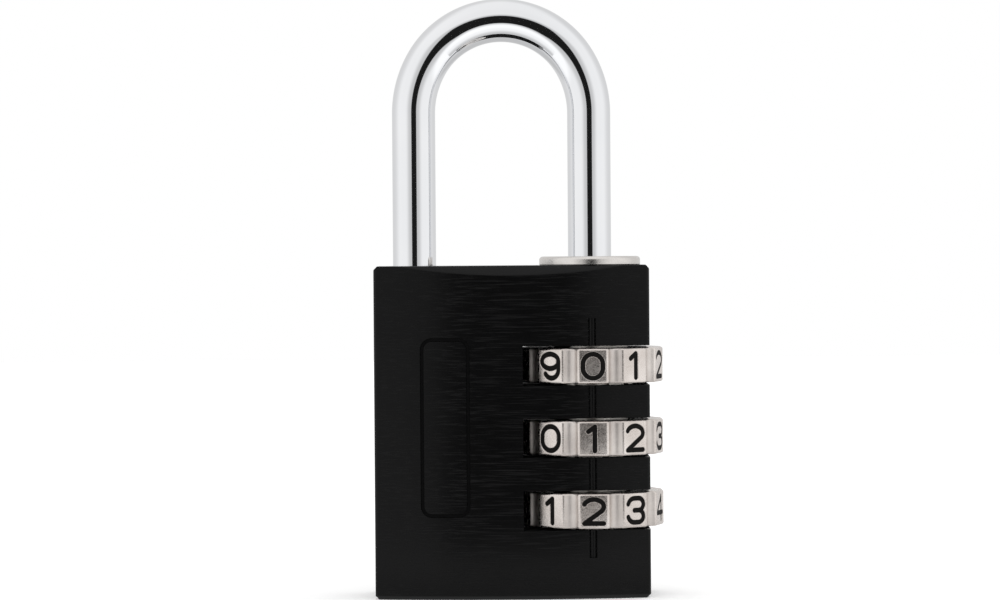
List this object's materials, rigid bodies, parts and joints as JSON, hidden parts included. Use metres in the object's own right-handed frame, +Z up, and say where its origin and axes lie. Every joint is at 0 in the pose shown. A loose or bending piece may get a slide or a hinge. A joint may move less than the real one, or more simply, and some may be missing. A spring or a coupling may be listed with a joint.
{
  "type": "combination padlock",
  "caption": "Side-wheel combination padlock: black block body, chromed U shackle that lifts, number wheels standing proud at front, side and back.",
  "frame": {"origin": "middle of the body's flat base", "axes": "+Z up along the shackle's legs; +X to the right of a viewer who faces the index groove, towards the number wheels; -Y towards that viewer"},
  "size_m": [0.0317, 0.0156, 0.0656],
  "materials": {
    "black_aluminium": "black anodised, brushed crosswise",
    "shackle_chrome": "bright chrome plate",
    "collar_nickel": "satin nickel plate",
    "wheel_nickel": "satin nickel plate",
    "digit_paint": "matt black paint in the engraving",
    "sleeve_nickel": "turned brass, nickel plated",
    "spring_steel": "plain"
  },
  "bodies": {
    "lock": {"lock_body": "black_aluminium", "detent_bore_plug": "spring_steel", "detent_spring": "spring_steel", "spindle_collar": "collar_nickel", "spacer_tube": "sleeve_nickel", "sleeve_spring": "spring_steel"},
    "shackle": {"shackle": "shackle_chrome", "lug_pin_1": "spring_steel", "lug_pin_2": "spring_steel", "lug_pin_3": "spring_steel"},
    "wheel_1": {"number_wheel_1": "wheel_nickel", "digit_fill_1": "digit_paint"},
    "wheel_2": {"number_wheel_2": "wheel_nickel", "digit_fill_2": "digit_paint"},
    "wheel_3": {"number_wheel_3": "wheel_nickel", "digit_fill_3": "digit_paint"},
    "sleeve_1": {"code_sleeve_1": "sleeve_nickel"},
    "sleeve_2": {"code_sleeve_2": "sleeve_nickel"},
    "sleeve_3": {"code_sleeve_3": "sleeve_nickel", "thrust_washer": "spring_steel"}
  },
  "joints": [
    {"name": "shackle_lift", "type": "slide", "parent": "lock", "child": "shackle", "axis": [0, 0, 1], "range_m": [0, 0.0062]},
    {"name": "wheel_1_spin", "type": "hinge", "parent": "lock", "child": "wheel_1", "pos_m": [0.0087, 0, 0.02533], "axis": [0, 0, 1], "continuous": true, "deforming": ["detent_spring"]},
    {"name": "wheel_2_spin", "type": "hinge", "parent": "lock", "child": "wheel_2", "pos_m": [0.0087, 0, 0.01748], "axis": [0, 0, 1], "continuous": true, "deforming": ["detent_spring"]},
    {"name": "wheel_3_spin", "type": "hinge", "parent": "lock", "child": "wheel_3", "pos_m": [0.0087, 0, 0.00962], "axis": [0, 0, 1], "continuous": true, "deforming": ["detent_spring"]},
    {"name": "sleeve_1_shift", "type": "slide", "parent": "wheel_1", "child": "sleeve_1", "axis": [0, 0, -1], "range_m": [0, 0.0015], "stiffness_N_per_m": 200, "springref_m": -0.002, "deforming": ["sleeve_spring"]},
    {"name": "sleeve_2_shift", "type": "slide", "parent": "wheel_2", "child": "sleeve_2", "axis": [0, 0, -1], "range_m": [0, 0.0015], "stiffness_N_per_m": 200, "springref_m": -0.002},
    {"name": "sleeve_3_shift", "type": "slide", "parent": "wheel_3", "child": "sleeve_3", "axis": [0, 0, -1], "range_m": [0, 0.0015], "stiffness_N_per_m": 200, "springref_m": -0.002}
  ],
  "couplings": [
    {"joint": "sleeve_2_shift", "follows": "sleeve_1_shift", "ratio": 1},
    {"joint": "sleeve_3_shift", "follows": "sleeve_1_shift", "ratio": 1}
  ]
}
